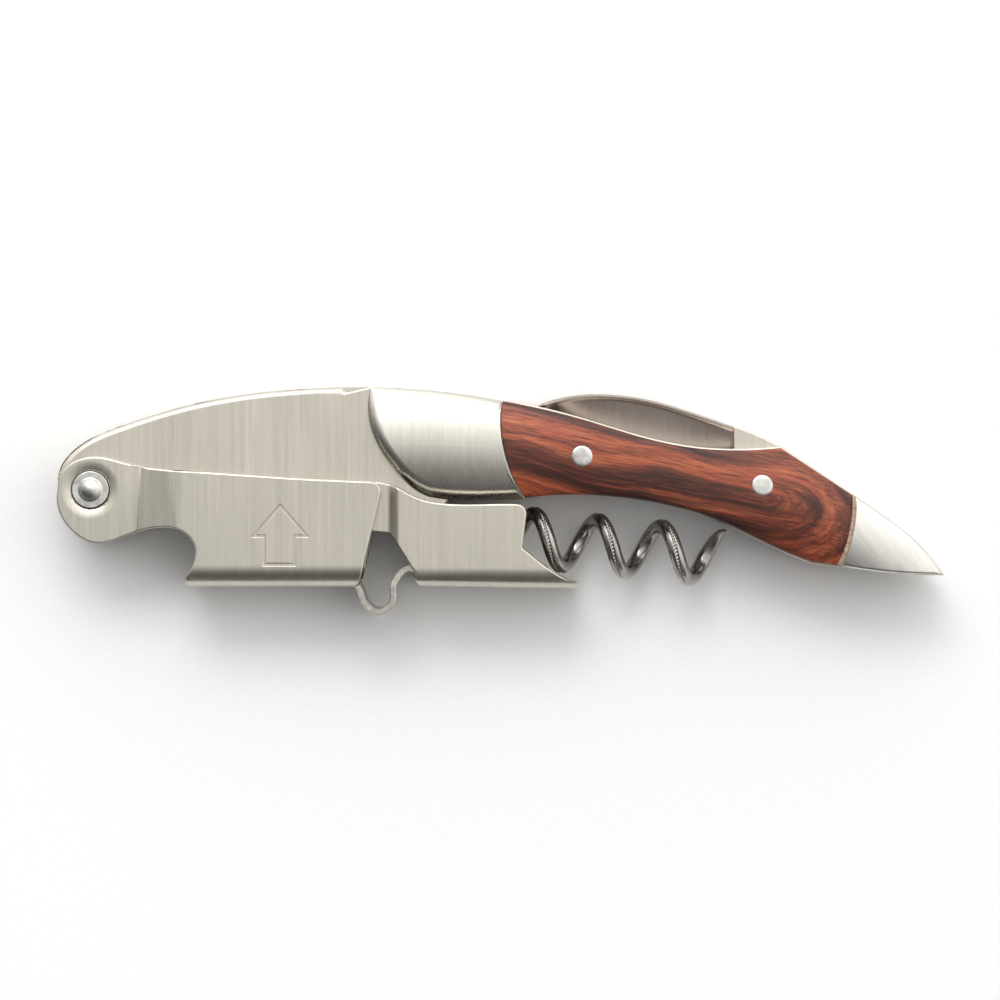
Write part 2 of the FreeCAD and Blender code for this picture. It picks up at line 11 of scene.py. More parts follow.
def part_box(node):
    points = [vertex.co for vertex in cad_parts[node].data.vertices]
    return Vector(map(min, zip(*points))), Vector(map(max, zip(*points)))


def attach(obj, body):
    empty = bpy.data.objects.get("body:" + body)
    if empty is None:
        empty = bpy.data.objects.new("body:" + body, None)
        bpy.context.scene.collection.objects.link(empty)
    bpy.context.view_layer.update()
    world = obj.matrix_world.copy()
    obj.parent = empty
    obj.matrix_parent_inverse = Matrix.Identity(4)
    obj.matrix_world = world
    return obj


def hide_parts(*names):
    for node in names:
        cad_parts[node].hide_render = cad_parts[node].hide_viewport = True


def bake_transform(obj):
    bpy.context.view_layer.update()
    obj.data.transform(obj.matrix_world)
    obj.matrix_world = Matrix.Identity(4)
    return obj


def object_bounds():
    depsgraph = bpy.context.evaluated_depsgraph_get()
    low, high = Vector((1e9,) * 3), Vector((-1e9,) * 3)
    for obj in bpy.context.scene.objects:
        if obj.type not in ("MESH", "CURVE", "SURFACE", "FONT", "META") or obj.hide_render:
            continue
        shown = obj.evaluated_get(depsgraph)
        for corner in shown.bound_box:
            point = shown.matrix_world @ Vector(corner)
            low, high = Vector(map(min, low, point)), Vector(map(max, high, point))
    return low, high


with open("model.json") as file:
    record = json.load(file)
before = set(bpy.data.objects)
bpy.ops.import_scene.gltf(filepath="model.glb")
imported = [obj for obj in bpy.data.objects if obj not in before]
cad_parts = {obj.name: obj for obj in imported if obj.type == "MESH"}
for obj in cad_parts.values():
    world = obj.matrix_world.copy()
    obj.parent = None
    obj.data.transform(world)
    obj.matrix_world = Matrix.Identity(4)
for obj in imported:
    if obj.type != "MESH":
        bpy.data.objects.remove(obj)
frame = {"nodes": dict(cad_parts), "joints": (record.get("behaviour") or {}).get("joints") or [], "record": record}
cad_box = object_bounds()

MM = 0.001
NODES = frame["nodes"]
JOINT = {joint["name"]: joint for joint in frame["joints"]}
BODY = {node: body for body, nodes in frame["record"]["behaviour"]["bodies"].items() for node in nodes}
SLOT = {part["node"]: part["material_slot"] for part in frame["record"]["subparts"]}
MIDDLE = (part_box("lever_first")[0].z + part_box("lever_first")[1].z) / 2
PLATE_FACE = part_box("side_plate_front")[1].z


# ---------------------------------------------------------------- material nodes

class Graph:
    """One material's shader nodes, wired by short calls."""

    def __init__(self, name, metallic, roughness, colour=(0.8, 0.8, 0.8)):
        self.material = bpy.data.materials.new(name)
        self.material.use_nodes = True
        self.tree = self.material.node_tree
        self.shader = self.tree.nodes["Principled BSDF"]
        self.shader.inputs["Metallic"].default_value = metallic
        self.shader.inputs["Roughness"].default_value = roughness
        self.shader.inputs["Base Color"].default_value = (*colour, 1)

    def node(self, kind, settings=None, **inputs):
        made = self.tree.nodes.new(f"ShaderNode{kind}")
        for key, value in (settings or {}).items():
            setattr(made, key, value)
        for key, value in inputs.items():
            self.put(made, key.replace("_", " "), value)
        return made

    def put(self, node, socket, value):
        target = node.inputs[socket]
        if isinstance(value, bpy.types.NodeSocket):
            self.tree.links.new(value, target)
        else:
            target.default_value = value

    def place(self, scale, turn=0.0):
        """The row frame's coordinates, turned about Z and stretched."""
        coords = self.node("TexCoord")
        turned = self.node("Mapping", Vector=coords.outputs["Object"], Rotation=(0, 0, math.radians(turn)))
        return self.node("Mapping", Vector=turned.outputs[0], Scale=scale).outputs[0]

    def noise(self, where, scale=1.0, detail=3.0, rough=0.55, distortion=0.0):
        made = self.node("TexNoise", Vector=where, Scale=scale, Detail=detail, Roughness=rough,
                         Distortion=distortion)
        return made.outputs["Fac"]

    def ramp(self, value, stops):
        made = self.node("ValToRGB", Fac=value)
        points = made.color_ramp.elements
        while len(points) < len(stops):
            points.new(0.5)
        for point, (place, colour) in zip(points, stops):
            point.position = place
            point.color = (*colour, 1) if isinstance(colour, tuple) else (colour, colour, colour, 1)
        return made.outputs["Color"]

    def blend(self, amount, first, second, mode="MIX"):
        made = self.node("Mix", {"data_type": "RGBA", "blend_type": mode})
        for index, value in ((0, amount), (6, first), (7, second)):
            if isinstance(value, bpy.types.NodeSocket):
                self.tree.links.new(value, made.inputs[index])
            else:
                made.inputs[index].default_value = value
        return made.outputs[2]

    def span(self, value, low, high, most=1.0):
        made = self.node("MapRange", Value=value, From_Max=most, To_Min=low, To_Max=high)
        return made.outputs[0]

    def parts(self, vector):
        """A vector's X and Y."""
        made = self.node("SeparateXYZ")
        self.tree.links.new(vector, made.inputs[0])
        return made.outputs[0], made.outputs[1]

    def joined(self, x, y, z):
        return self.node("CombineXYZ", X=x, Y=y, Z=z).outputs[0]

    def math(self, operation, first, second=0.0):
        made = self.node("Math", {"operation": operation})
        for index, value in enumerate((first, second)):
            if isinstance(value, bpy.types.NodeSocket):
                self.tree.links.new(value, made.inputs[index])
            else:
                made.inputs[index].default_value = value
        return made.outputs[0]

    def add(self, first, second, amount=1.0):
        made = self.node("Math", {"operation": "MULTIPLY_ADD"})
        self.tree.links.new(second, made.inputs[0])
        made.inputs[1].default_value = amount
        self.tree.links.new(first, made.inputs[2])
        return made.outputs[0]

    def finish(self, colour=None, roughness=None, bumps=()):
        if colour is not None:
            self.put(self.shader, "Base Color", colour)
        if roughness is not None:
            self.put(self.shader, "Roughness", roughness)
        last = None
        for height, strength, distance in bumps:
            bump = self.node("Bump", Height=height, Strength=strength, Distance=distance)
            if last is not None:
                self.tree.links.new(last, bump.inputs["Normal"])
            last = bump.outputs[0]
        if last is not None:
            self.tree.links.new(last, self.shader.inputs["Normal"])
        return self.material


def brushed_steel(name, colour, roughness, turn=0.0, depth=1.0, contrast=0.12):
    """Satin steel with brush lines along Y, turned by an angle, over faint cloudiness."""
    graph = Graph(name, 1.0, roughness)
    fine = graph.noise(graph.place((5200, 130, 5200), turn), detail=3, rough=0.7)
    broad = graph.noise(graph.place((1500, 36, 1500), turn), detail=4, rough=0.65)
    cloud = graph.noise(graph.place((70, 45, 70), turn), detail=2)
    shade = graph.add(graph.add(broad, fine, 0.7), cloud, 0.6)
    dark = tuple(c * (1 - contrast) for c in colour)
    light = tuple(min(1.0, c * (1 + contrast)) for c in colour)
    tone = graph.ramp(graph.span(shade, 0.0, 1.0, 2.3), [(0.36, dark), (0.64, light)])
    rough = graph.span(fine, roughness - 0.08, roughness + 0.10)
    return graph.finish(tone, rough, [(fine, 0.12 * depth, 0.00003), (broad, 0.16 * depth, 0.00008)])


def rosewood(name):
    """Oiled red-brown hardwood: smoky streaks that run along the handle and close round a figure."""
    graph = Graph(name, 0.0, 0.42)
    along, over = graph.parts(graph.place((1, 1, 1), 14))
    warp = graph.noise(graph.place((34, 80, 60), 14), detail=3)
    over = graph.math("ADD", graph.math("SUBTRACT", over, 0.0082), graph.span(warp, -0.0034, 0.0034))
    past = graph.math("MULTIPLY", graph.math("MAXIMUM", graph.math("SUBTRACT", along, 0.036), 0.0), 0.55)
    ring = graph.math("SQRT", graph.math("ADD", graph.math("MULTIPLY", over, over),
                                         graph.math("MULTIPLY", past, past)))
    flow = graph.joined(graph.math("MULTIPLY", along, 48.0), graph.math("MULTIPLY", ring, 1000.0),
                        graph.math("MULTIPLY", over, 330.0))
    grain = graph.noise(flow, detail=9, rough=0.7, distortion=0.2)
    streak = graph.noise(flow, scale=0.40, detail=5, rough=0.62, distortion=0.5)
    fibre = graph.noise(graph.place((330, 7000, 7000), 13), detail=3, rough=0.6)
    body = graph.ramp(grain, [(0.34, (0.12, 0.036, 0.024)), (0.44, (0.27, 0.058, 0.028)),
                              (0.53, (0.40, 0.092, 0.038)), (0.68, (0.50, 0.160, 0.072))])
    smoke = graph.ramp(streak, [(0.38, (0.13, 0.15, 0.18)), (0.46, (0.42, 0.40, 0.42)),
                                (0.55, (1.0, 1.0, 1.0))])
    tone = graph.blend(0.95, body, smoke, "MULTIPLY")
    lines = graph.ramp(fibre, [(0.36, (0.34, 0.30, 0.31)), (0.52, (1.0, 1.0, 1.0))])
    tone = graph.blend(0.9, tone, lines, "MULTIPLY")
    graph.shader.inputs["Specular IOR Level"].default_value = 0.4
    graph.shader.inputs["Coat Weight"].default_value = 0.12
    graph.shader.inputs["Coat Roughness"].default_value = 0.25
    return graph.finish(tone, graph.span(grain, 0.36, 0.52),
                        [(fibre, 0.30, 0.00005), (grain, 0.2, 0.00008)])


def plated_steel(name, colour, roughness):
    """Bright dark plating with fine drawing marks and small pits."""
    graph = Graph(name, 1.0, roughness)
    fine = graph.noise(graph.place((1500, 1500, 1500)), detail=5, rough=0.65)
    cloud = graph.noise(graph.place((260, 260, 260)), detail=3)
    tone = graph.ramp(graph.add(cloud, fine, 0.5), [(0.55, tuple(c * 0.55 for c in colour)), (1.0, colour)])
    return graph.finish(tone, graph.span(fine, roughness - 0.06, roughness + 0.12), [(fine, 0.14, 0.00004)])


def tumbled_steel(name, colour, roughness):
    """Tumbled spring steel with a mottled, slightly dented skin."""
    graph = Graph(name, 1.0, roughness)
    dents = graph.noise(graph.place((620, 620, 620)), detail=3)
    fine = graph.noise(graph.place((3200, 3200, 3200)), detail=3)
    dark = tuple(c * 0.62 for c in colour)
    tone = graph.ramp(graph.add(dents, fine, 0.35), [(0.45, dark), (0.85, colour)])
    return graph.finish(tone, graph.span(dents, roughness - 0.08, roughness + 0.14),
                        [(dents, 0.55, 0.00012), (fine, 0.2, 0.00004)])


def fibre_board(name):
    """Tan vulcanised fibre with a fleck."""
    graph = Graph(name, 0.0, 0.62)
    fleck = graph.noise(graph.place((2600, 2600, 900)), detail=4)
    tone = graph.ramp(fleck, [(0.35, (0.26, 0.16, 0.10)), (0.62, (0.50, 0.36, 0.26))])
    return graph.finish(tone, None, [(fleck, 0.3, 0.00005)])


def paper_floor(name):
    """A plain pale studio sweep with a barely visible tooth."""
    graph = Graph(name, 0.0, 0.85)
    tooth = graph.noise(graph.place((900, 900, 900)), detail=3)
    tone = graph.ramp(tooth, [(0.3, (0.93, 0.93, 0.93)), (0.7, (0.95, 0.95, 0.95))])
    return graph.finish(tone, None, [(tooth, 0.05, 0.00005)])


MATERIALS = {
    "plate_steel": brushed_steel("plate_steel", (0.63, 0.59, 0.515), 0.33),
    "lever_steel": brushed_steel("lever_steel", (0.60, 0.565, 0.495), 0.34),
    "bolster_steel": brushed_steel("bolster_steel", (0.66, 0.63, 0.57), 0.27, contrast=0.09),
    "grip_wood": rosewood("grip_wood"),
    "fibre": fibre_board("fibre"),
    "pin_steel": tumbled_steel("pin_steel", (0.74, 0.73, 0.70), 0.30),
    "washer_brass": tumbled_steel("washer_brass", (0.72, 0.52, 0.22), 0.3),
    # blade_steel is the same steel as the spine, painted darker and browner: a painted reflection of the wood in
    # the hollow grind.
    "blade_steel": brushed_steel("blade_steel", (0.45, 0.385, 0.34), 0.30, contrast=0.1),
    "worm_steel": plated_steel("worm_steel", (0.50, 0.47, 0.44), 0.2),
    "spring_steel": tumbled_steel("spring_steel", (0.66, 0.62, 0.56), 0.27),
}
TIP_STEEL = brushed_steel("tip_steel", (0.70, 0.68, 0.64), 0.30, turn=-38, contrast=0.12)


# ---------------------------------------------------------------- mesh helpers

def piece(name, bm, material, body, nodes=(), smooth_angle=35, weighted=False):
    """A finished mesh that rides on a body and stands for some CAD nodes."""
    mesh = bpy.data.meshes.new(name)
    bmesh.ops.recalc_face_normals(bm, faces=bm.faces)
    bm.to_mesh(mesh)
    bm.free()
    mesh.polygons.foreach_set("use_smooth", [True] * len(mesh.polygons))
    mesh.set_sharp_from_angle(angle=math.radians(smooth_angle))
    mesh.materials.append(material)
    made = bpy.data.objects.new(name, mesh)
    bpy.context.scene.collection.objects.link(made)
    if weighted:
        made.modifiers.new("even_faces", "WEIGHTED_NORMAL").keep_sharp = True
    if body:
        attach(made, body)
    if nodes:
        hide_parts(*nodes)
    return made


def cad_copy(node):
    """A CAD node's own mesh with its seams welded and its flat faces whole again."""
    bm = bmesh.new()
    bm.from_mesh(NODES[node].data)
    bmesh.ops.remove_doubles(bm, verts=bm.verts, dist=0.002 * MM)
    bmesh.ops.dissolve_limit(bm, angle_limit=math.radians(0.4), verts=bm.verts, edges=bm.edges)
    return bm


def bevel(bm, width, segments, chosen):
    """Break the edges that a test picks."""
    edges = [e for e in bm.edges if len(e.link_faces) == 2 and chosen(e)]
    bmesh.ops.bevel(bm, geom=edges, offset=width * MM, offset_type="OFFSET", segments=segments,
                    profile=0.5, affect="EDGES", clamp_overlap=False)
    bmesh.ops.remove_doubles(bm, verts=bm.verts, dist=0.001 * MM)


SHARP = math.radians(38)


def sharp(edge):
    return edge.calc_face_angle(0) > SHARP


def nearest_share(spot, a, b):
    """Where along a straight stretch, from 0 to 1, a point is closest to it."""
    return min(1.0, max(0.0, (spot - a).dot(b - a) / max((b - a).length_squared, 1e-18)))


def segment_gap(spot, a, b):
    """How far a point is from a straight stretch."""
    return (spot - a.lerp(b, nearest_share(spot, a, b))).length


def confine(bm, node, outline=()):
    """Push a bevel's overshoot back into the CAD node's box and, if one is given, its outline.

    The plates' wide bevel folds over itself and is moved by up to 2.5 mm; the other pieces hardly move.
    """
    low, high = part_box(node)
    for vert in bm.verts:
        vert.co = Vector(min(max(value, least), most) for value, least, most in zip(vert.co, low, high))
    if not outline:
        return
    sides = list(zip(outline, outline[1:] + outline[:1]))
    for vert in bm.verts:
        spot = vert.co.to_2d()
        crossed = [a.x + (spot.y - a.y) * (b.x - a.x) / (b.y - a.y)
                   for a, b in sides if (a.y > spot.y) != (b.y > spot.y)]
        if sum(x > spot.x for x in crossed) % 2 == 0:
            a, b = min(sides, key=lambda side: segment_gap(spot, *side))
            vert.co.x, vert.co.y = a.lerp(b, nearest_share(spot, a, b))


def softened(node, width, segments=2, first=(), spared=lambda edge: False, reshape=None, outline=()):
    """A CAD node with its sharp edges broken, as a finished piece on the same body."""
    bm = cad_copy(node)
    for special_width, special_segments, chosen in first:
        bevel(bm, special_width, special_segments, chosen)
    bevel(bm, width, segments, lambda edge: sharp(edge) and not spared(edge))
    confine(bm, node, outline)
    if reshape:
        reshape(bm)
    piece(f"{node}_finished", bm, MATERIALS[SLOT[node]], BODY[node], [node], weighted=True)


def ring_mesh(bm, rings, closed_ends=True):
    """Skin a list of vertex rings of equal count."""
    count = len(rings[0])
    for before, after in zip(rings, rings[1:]):
        for i in range(count):
            j = (i + 1) % count
            bm.faces.new((before[i], before[j], after[j], after[i]))
    if closed_ends:
        bm.faces.new(rings[0][::-1])
        bm.faces.new(rings[-1])


def smooth_route(points, step):
    """Points at even spacing along a Catmull-Rom curve through a list of points."""
    dense = []
    padded = [points[0] * 2 - points[1]] + points + [points[-1] * 2 - points[-2]]
    for a, b, c, d in zip(padded, padded[1:], padded[2:], padded[3:]):
        for k in range(24):
            t = k / 24
            dense.append(0.5 * ((2 * b) + (c - a) * t + (2 * a - 5 * b + 4 * c - d) * t * t
                                + (3 * b - a - 3 * c + d) * t ** 3))
    dense.append(points[-1])
    out, left = [dense[0]], step
    for a, b in zip(dense, dense[1:]):
        gap = (b - a).length
        while gap >= left > 0:
            a = a + (b - a) * (left / gap)
            gap = (b - a).length
            out.append(a)
            left = step
        left -= gap
    out.append(points[-1])
    return out


# ---------------------------------------------------------------- crowned covers

COVER_RIM = {"bolster": 1.7, "scale": 0.55, "tail_tip": 0.4}
JOINT_RIM = 0.14
CROWN_RADIUS = 17.0
CROWN_LINE = [(-24.0, 8.0), (-8.0, 7.8), (8.0, 6.6), (24.0, 3.4), (40.0, -0.2), (52.0, -5.4), (66.0, -12.6)]
CROWN_DROP = [(-24.0, 0.3), (-10.0, 0.0), (30.0, 0.0), (48.0, 0.2), (57.0, 1.1), (63.0, 2.5)]


def rim_loop(node):
    """The outline of a cover on its plate, in order, from the CAD node's lowest faces."""
    mesh = NODES[node].data
    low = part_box(node)[0].z + 0.001 * MM
    follow = {}
    spots = {}
    for polygon in mesh.polygons:
        corners = [mesh.vertices[i].co for i in polygon.vertices]
        if max(c.z for c in corners) > low:
            continue
        keys = [(round(c.x * 2e6), round(c.y * 2e6)) for c in corners]
        spots.update(zip(keys, corners))
        for a, b in zip(keys, keys[1:] + keys[:1]):
            follow.setdefault(a, set()).add(b)
    border = {a: b for a, ends in follow.items() for b in ends if a not in follow.get(b, ())}
    loops = []
    while border:
        start, here = next(iter(border.items()))
        loop = [start]
        del border[start]
        while here != start and here in border:
            loop.append(here)
            here = border.pop(here)
        loops.append([Vector((spots[k].x, spots[k].y)) for k in loop])
    longest = max(loops, key=len)
    even = []
    for a, b in zip(longest, longest[1:] + longest[:1]):
        parts = max(1, math.ceil((b - a).length / (0.3 * MM)))
        even += [a.lerp(b, k / parts) for k in range(parts)]
    return even


class Crown:
    """The pillow that the front covers share: an arc across the handle, lower at its ends."""

    def __init__(self):
        self.line = smooth_route([Vector((x, y, 0)) * MM for x, y in CROWN_LINE], 0.4 * MM)
        self.drops = smooth_route([Vector((x, drop, 0)) * MM for x, drop in CROWN_DROP], 0.4 * MM)
        self.places = {id(points): [p.x for p in points] for points in (self.line, self.drops)}
        self.top = max(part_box(f"{kind}_front")[1].z for kind in COVER_RIM)
        self.tree = kdtree.KDTree(len(self.line))
        for i, point in enumerate(self.line):
            self.tree.insert(point, i)
        self.tree.balance()

    def along(self, points, x):
        """The Y of a curve at one X."""
        index = min(max(bisect.bisect(self.places[id(points)], x), 1), len(points) - 1)
        a, b = points[index - 1], points[index]
        share = min(1.0, max(0.0, (x - a.x) / max(b.x - a.x, 1e-9)))
        return a.y + (b.y - a.y) * share

    def height(self, x, y):
        spot = Vector((x, y, 0))
        index = self.tree.find(spot)[1]
        starts = self.line[max(index - 1, 0):index + 1]
        ends = self.line[max(index, 1):index + 2]
        gap = min(segment_gap(spot, a, b) for a, b in zip(starts, ends))
        radius = CROWN_RADIUS * MM
        return self.top - radius + math.sqrt(radius ** 2 - gap ** 2) - max(0.0, self.along(self.drops, x))


def cover(kind, loops, crown, material):
    """A front cover with the CAD's crown and rounded rims, and its mirror image at the back."""
    loop = loops[kind]
    others = [p for name, points in loops.items() if name != kind for p in points]
    near = kdtree.KDTree(len(others))
    for i, p in enumerate(others):
        near.insert((p.x, p.y, 0), i)
    near.balance()
    radii = []
    for p in loop:
        gap = near.find((p.x, p.y, 0))[2]
        radii.append((JOINT_RIM if gap < 0.35 * MM else COVER_RIM[kind]) * MM)
    stretches = {}
    for radius in sorted(set(radii)):
        stretches[radius] = kdtree.KDTree(radii.count(radius))
        for i, p in enumerate(loop):
            if radii[i] == radius:
                stretches[radius].insert((p.x, p.y, 0), i)
        stretches[radius].balance()
    low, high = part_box(f"{kind}_front")
    inset = 0.2 * (high.x - low.x)

    def height(x, y):
        spot = Vector((x, y))
        rise = crown.height(x, y)
        drops = []
        for radius, stretch in stretches.items():
            index = stretch.find((x, y, 0))[1]
            gap = min(segment_gap(spot, loop[index - 1], loop[index]),
                      segment_gap(spot, loop[index], loop[(index + 1) % len(loop)]))
            room = min(radius, rise - low.z - 0.15 * MM)
            past = max(0.0, 1 - gap / radius)
            drops.append(room * (1 - math.sqrt(1 - min(1.0, past) ** 2)))
        return rise - max(drops)

    def centre(p):
        x = min(max(p.x, low.x + inset), high.x - inset)
        return Vector((x, crown.along(crown.line, x)))

    bm = bmesh.new()
    rings = [[bm.verts.new((p.x, p.y, low.z)) for p in loop]]
    rim_steps = [1 - math.cos(math.radians(90 * k / 9)) for k in range(10)]
    face_steps = [(k / 14) ** 1.4 for k in range(1, 15)]
    for on_rim, steps in ((True, rim_steps), (False, face_steps)):
        for step in steps:
            ring = []
            for p, radius in zip(loop, radii):
                inward = centre(p) - p
                span = inward.length
                rim = min(radius * 1.35, span * 0.6)
                reach = rim * step if on_rim else rim + (span - rim) * step
                spot = p + inward * (reach / max(span, 1e-9))
                ring.append(bm.verts.new((spot.x, spot.y, height(spot.x, spot.y))))
            rings.append(ring)
    ring_mesh(bm, rings, closed_ends=False)
    bm.faces.new(rings[0][::-1])
    bmesh.ops.remove_doubles(bm, verts=bm.verts, dist=0.003 * MM)
    bmesh.ops.recalc_face_normals(bm, faces=bm.faces)
    back = bm.copy()
    bmesh.ops.transform(back, matrix=Matrix.Diagonal((1, 1, -1, 1)), verts=back.verts)
    bmesh.ops.translate(back, vec=(0, 0, 2 * MIDDLE), verts=back.verts)
    bmesh.ops.reverse_faces(back, faces=back.faces)
    for side, mesh in (("front", bm), ("back", back)):
        node = f"{kind}_{side}"
        piece(f"{node}_shaped", mesh, material, BODY[node], [node], smooth_angle=50)


def handle_pin(node, crown):
    """A pin right through the scales, with a low dome at each end that follows the wood."""
    low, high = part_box(node)
    middle = (low + high) / 2
    radius = (high.x - low.x) / 2
    profile = [(1.0, -0.10), (0.985, -0.02), (0.94, 0.03), (0.8, 0.07), (0.6, 0.09), (0.3, 0.10),
               (0.0, 0.105)]
    bm = bmesh.new()
    for sign in (1, -1):
        rings = []
        for share, rise in [(1.0, None)] + profile:
            ring = []
            for k in range(48):
                angle = sign * 2 * math.pi * k / 48
                x = middle.x + radius * share * math.cos(angle)
                y = middle.y + radius * share * math.sin(angle)
                top = 0.0 if rise is None else crown.height(x, y) + rise * MM - middle.z
                ring.append(bm.verts.new((x, y, middle.z + sign * min(top, cad_box[1].z - middle.z))))
            rings.append(ring)
        ring_mesh(bm, rings, closed_ends=False)
    bmesh.ops.remove_doubles(bm, verts=bm.verts, dist=0.002 * MM)
    piece(f"{node}_domed", bm, MATERIALS[SLOT[node]], BODY[node], [node])


def covers():
    crown = Crown()
    loops = {kind: rim_loop(f"{kind}_front") for kind in (*COVER_RIM, "tip_spacer")}
    for kind in COVER_RIM:
        material = TIP_STEEL if kind == "tail_tip" else MATERIALS[SLOT[f"{kind}_front"]]
        cover(kind, loops, crown, material)
    for node in ("scale_pin", "knife_pin"):
        handle_pin(node, crown)


# ---------------------------------------------------------------- worm

WORM = {"coil": 3.5, "pitch": 9.1, "wire": 1.05, "slope": -5.6, "lead": 13.025, "start": -0.75, "end": 3.27}
GROOVE_ANGLES = [-0.55, -0.36, -0.26, -0.2, -0.14, -0.07, 0.0, 0.07, 0.14, 0.2, 0.26, 0.36, 0.55]


def worm_line(turn):
    """The worm's centre line by turns, in millimetres in the worm's own frame."""
    settled = min(1.0, max(0.0, (turn - WORM["start"]) / 0.9))
    radius = WORM["coil"] * math.sin(settled * math.pi / 2)
    angle = 2 * math.pi * (turn - 0.25)
    return Vector((WORM["lead"] + WORM["pitch"] * turn, radius * math.cos(angle), radius * math.sin(angle)))


def worm():
    """The open helix with its beaded outer groove, ground point, shank and eye."""
    rings = []
    bm = bmesh.new()
    wire = WORM["wire"]
    steps = 1600
    lead = 60
    plain = 20
    gap = 2 * math.pi - GROOVE_ANGLES[-1] + GROOVE_ANGLES[0]
    around = GROOVE_ANGLES + [GROOVE_ANGLES[-1] + gap * k / plain for k in range(1, plain)]
    for k in range(-lead, steps + 1):
        turn = WORM["start"] + (WORM["end"] - WORM["start"]) * max(k, 0) / steps
        spot = worm_line(turn)
        ahead = (worm_line(turn + 0.004) - worm_line(turn - 0.004)).normalized()
        angle = 2 * math.pi * (turn - 0.25)
        outward = Vector((0, math.cos(angle), math.sin(angle)))
        if k < 0:
            share = 1 + k / lead
            spot = Vector((1.0, 0, 0)).lerp(spot, share)
            ahead = Vector((1, 0, 0)).lerp(ahead, share ** 3).normalized()
        outward = (outward - ahead * outward.dot(ahead)).normalized()
        side = ahead.cross(outward)
        left = (WORM["end"] - turn) / 0.30
        taper = 1.0 if left >= 1 else 0.06 + 0.94 * math.sin(max(left, 0) * math.pi / 2) ** 0.8
        groove = min(1.0, max(0.0, (turn + 0.1) / 0.15)) * min(1.0, max(0.0, left - 1.0))
        bead = 0.5 + 0.5 * math.sin(k * 2 * math.pi / 7)
        shift = outward * (wire * (1 - taper) * 0.25)
        ring = []
        for off in around:
            cut = max(0.0, 1 - (off / 0.24) ** 2) * (0.26 - 0.13 * bead) * groove
            reach = wire * taper - cut
            ring.append(spot + shift + (outward * math.cos(off) + side * math.sin(off)) * reach)
        rings.append([bm.verts.new(p * MM) for p in ring])
    ring_mesh(bm, rings)
    eye_ring(bm)
    pivot = Vector(JOINT["worm_fold"]["pos_m"])
    tilt = Matrix.Rotation(math.radians(WORM["slope"]), 4, "Z")
    place = Matrix.Translation((pivot.x, pivot.y, MIDDLE)) @ tilt
    bmesh.ops.transform(bm, matrix=place, verts=bm.verts)
    piece("worm_helix", bm, MATERIALS["worm_steel"], "worm", ["worm"], smooth_angle=50)


def eye_ring(bm):
    """The flattened eye round the worm's pin, with rounded edges."""
    half, outer, bore, round_off = 1.25, 3.0, 1.3, 0.3
    profile = [(bore, -half), (outer - round_off, -half), (outer, -half + round_off),
               (outer, half - round_off), (outer - round_off, half), (bore, half)]
    rings = []
    for k in range(48):
        angle = 2 * math.pi * k / 48
        rings.append([bm.verts.new(Vector((r * math.cos(angle), r * math.sin(angle), z)) * MM)
                      for r, z in profile])
    for before, after in zip(rings, rings[1:] + rings[:1]):
        for i in range(len(profile)):
            j = (i + 1) % len(profile)
            bm.faces.new((before[i], before[j], after[j], after[i]))


# ---------------------------------------------------------------- leaf spring

LEAF_ROUTE = [
    (-34.0, -10.5), (-31.0, -10.5), (-28.0, -10.5), (-25.0, -10.5), (-22.4, -10.8),
    (-20.3, -12.0), (-19.2, -14.5), (-17.2, -15.65), (-15.4, -14.3), (-15.15, -11.6),
    (-13.3, -9.55), (-10.5, -10.1), (-8.0, -10.3), (-5.0, -10.35), (-2.0, -10.4),
]


def leaf_spring():
    """The sprung strip, with rounded edges, laid on a bent route between the two lever parts."""
    route = smooth_route([Vector((x, y, 0)) * MM for x, y in LEAF_ROUTE], 0.25 * MM)
    half, width, edge = 0.47, 4.0, 0.14
    upper = [(half - edge, -width), (half, -width + edge), (half, width - edge), (half - edge, width)]
    section = upper + [(-u, -w) for u, w in upper]
    bm = bmesh.new()
    rings = []
    for before, here, after in zip(route[:1] + route, route, route[1:] + route[-1:]):
        ahead = (after - before).normalized()
        up = Vector((-ahead.y, ahead.x, 0))
        ring = []
        for u, w in section:
            ring.append(bm.verts.new(here + up * u * MM + Vector((0, 0, MIDDLE + w * MM))))
        rings.append(ring)
    ring_mesh(bm, rings)
    made = piece("lever_leaf_spring", bm, MATERIALS["spring_steel"], None, ["lever_spring"])
    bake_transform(made)


# ---------------------------------------------------------------- knife

PLUNGE_X = 33.3
BLADE_HALF = 0.85


